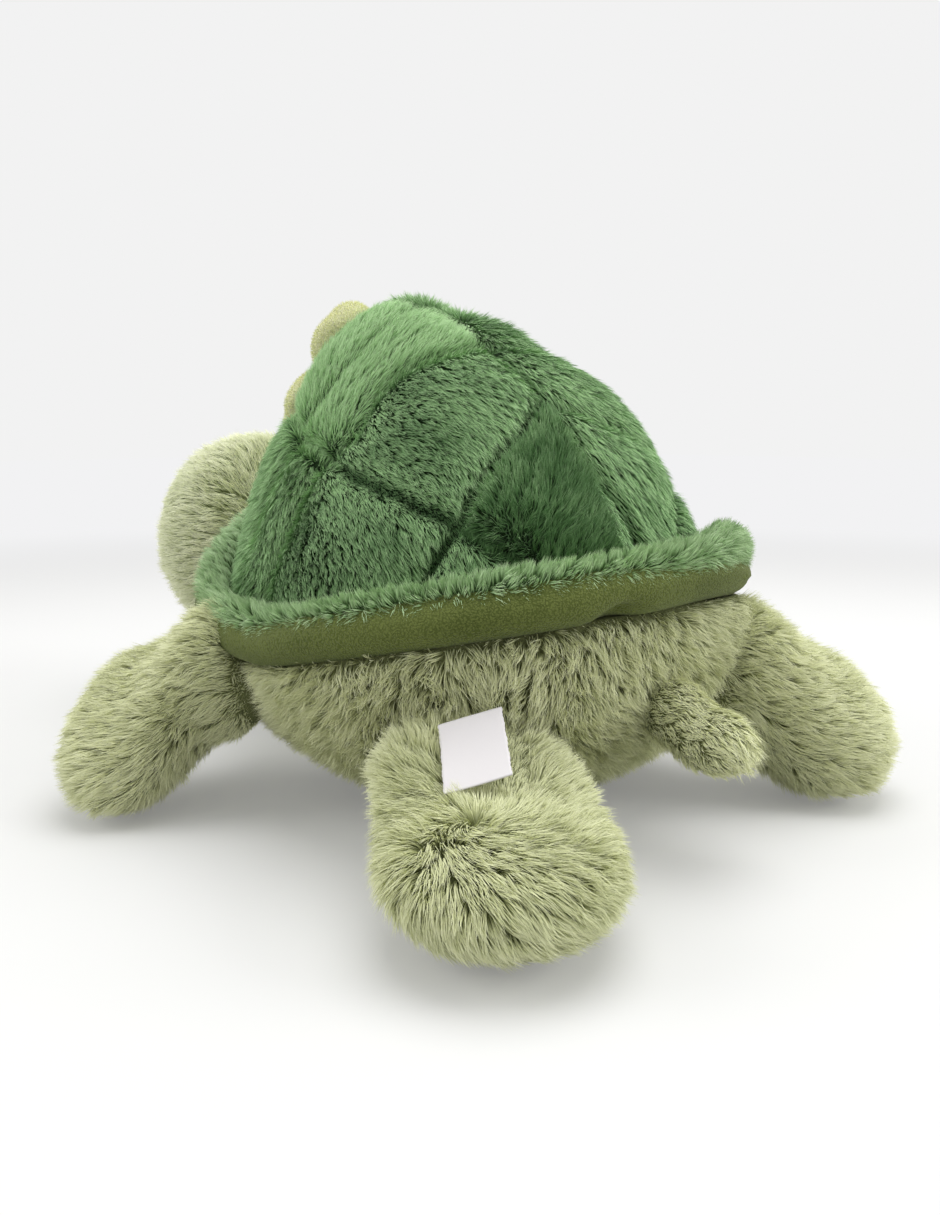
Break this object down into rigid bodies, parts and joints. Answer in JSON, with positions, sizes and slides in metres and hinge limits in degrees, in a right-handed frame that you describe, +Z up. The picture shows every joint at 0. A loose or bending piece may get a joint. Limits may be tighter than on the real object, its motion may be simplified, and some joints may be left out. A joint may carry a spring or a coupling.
{
  "type": "plush turtle",
  "caption": "Soft stuffed turtle with flippers, a head and a tail sewn to its body, and a quilted padded shell with a flower on its back.",
  "frame": {"origin": "middle of the flat on the belly that the toy rests on", "axes": "+Z up, +Y towards the tail along the longest extent, +X towards the turtle's left side"},
  "size_m": [0.3634, 0.4569, 0.2431],
  "materials": {
    "sage_fur": "long plush pile",
    "pale_sage_fur": "long plush pile",
    "green_fur": "short plush pile",
    "mint_fur": "plush pile",
    "olive_velour": "pebbly velour",
    "cream_velour": "short velour",
    "filling": "loose fibre",
    "canvas": "plain weave",
    "white_satin": "satin",
    "eye_plastic": "gloss",
    "washer_plastic": "matte"
  },
  "bodies": {
    "torso": {"body_cover": "sage_fur", "body_filling": "filling", "pellet_bag": "canvas", "shell_cover": "green_fur", "shell_filling": "filling", "shell_rim_roll": "mint_fur", "shell_underside": "olive_velour", "flower_middle": "cream_velour", "flower_petal_1": "cream_velour", "flower_petal_2": "cream_velour", "flower_petal_3": "cream_velour", "flower_petal_4": "cream_velour", "flower_petal_5": "cream_velour"},
    "head": {"head_cover": "pale_sage_fur", "head_filling": "filling", "left_eye": "eye_plastic", "left_eye_washer": "washer_plastic", "right_eye": "eye_plastic", "right_eye_washer": "washer_plastic"},
    "front_left_flipper": {"front_left_flipper_cover": "sage_fur", "front_left_flipper_filling": "filling"},
    "front_right_flipper": {"front_right_flipper_cover": "sage_fur", "front_right_flipper_filling": "filling"},
    "hind_left_flipper": {"hind_left_flipper_cover": "sage_fur", "hind_left_flipper_filling": "filling"},
    "hind_right_flipper": {"hind_right_flipper_cover": "sage_fur", "hind_right_flipper_filling": "filling"},
    "tail": {"tail_cover": "sage_fur", "tail_filling": "filling"},
    "label": {"sewn_label": "white_satin"}
  },
  "joints": [
    {"name": "head_nod", "type": "hinge", "parent": "torso", "child": "head", "pos_m": [0, -0.12494, 0.0855], "axis": [1, 0, 0], "range_deg": [-6, 16], "stiffness_Nm_per_rad": 1.2, "springref_deg": -2.58},
    {"name": "front_left_flap", "type": "hinge", "parent": "torso", "child": "front_left_flipper", "pos_m": [0.10965, -0.05348, 0.0615], "axis": [0.6166, 0.5954, -0.515], "range_deg": [-10, 20], "stiffness_Nm_per_rad": 0.4},
    {"name": "front_right_flap", "type": "hinge", "parent": "torso", "child": "front_right_flipper", "pos_m": [-0.10965, -0.05348, 0.0615], "axis": [0.6166, -0.5954, 0.515], "range_deg": [-10, 20], "stiffness_Nm_per_rad": 0.4},
    {"name": "hind_left_flap", "type": "hinge", "parent": "torso", "child": "hind_left_flipper", "pos_m": [0.07975, 0.08258, 0.0445], "axis": [-0.8566, 0.5147, -0.0349], "range_deg": [-10, 20], "stiffness_Nm_per_rad": 0.4},
    {"name": "hind_right_flap", "type": "hinge", "parent": "torso", "child": "hind_right_flipper", "pos_m": [-0.07662, 0.09462, 0.0555], "axis": [-0.5314, -0.7052, 0.4695], "range_deg": [-10, 20], "stiffness_Nm_per_rad": 0.4},
    {"name": "tail_wag", "type": "hinge", "parent": "torso", "child": "tail", "pos_m": [0, 0.11999, 0.0615], "axis": [0, 0, 1], "range_deg": [-25, 25], "stiffness_Nm_per_rad": 0.05},
    {"name": "label_flip", "type": "hinge", "parent": "hind_left_flipper", "child": "label", "pos_m": [0.09416, 0.09492, 0.06836], "axis": [0.7193, -0.6947, 0], "range_deg": [0, 60], "stiffness_Nm_per_rad": 0.001}
  ]
}
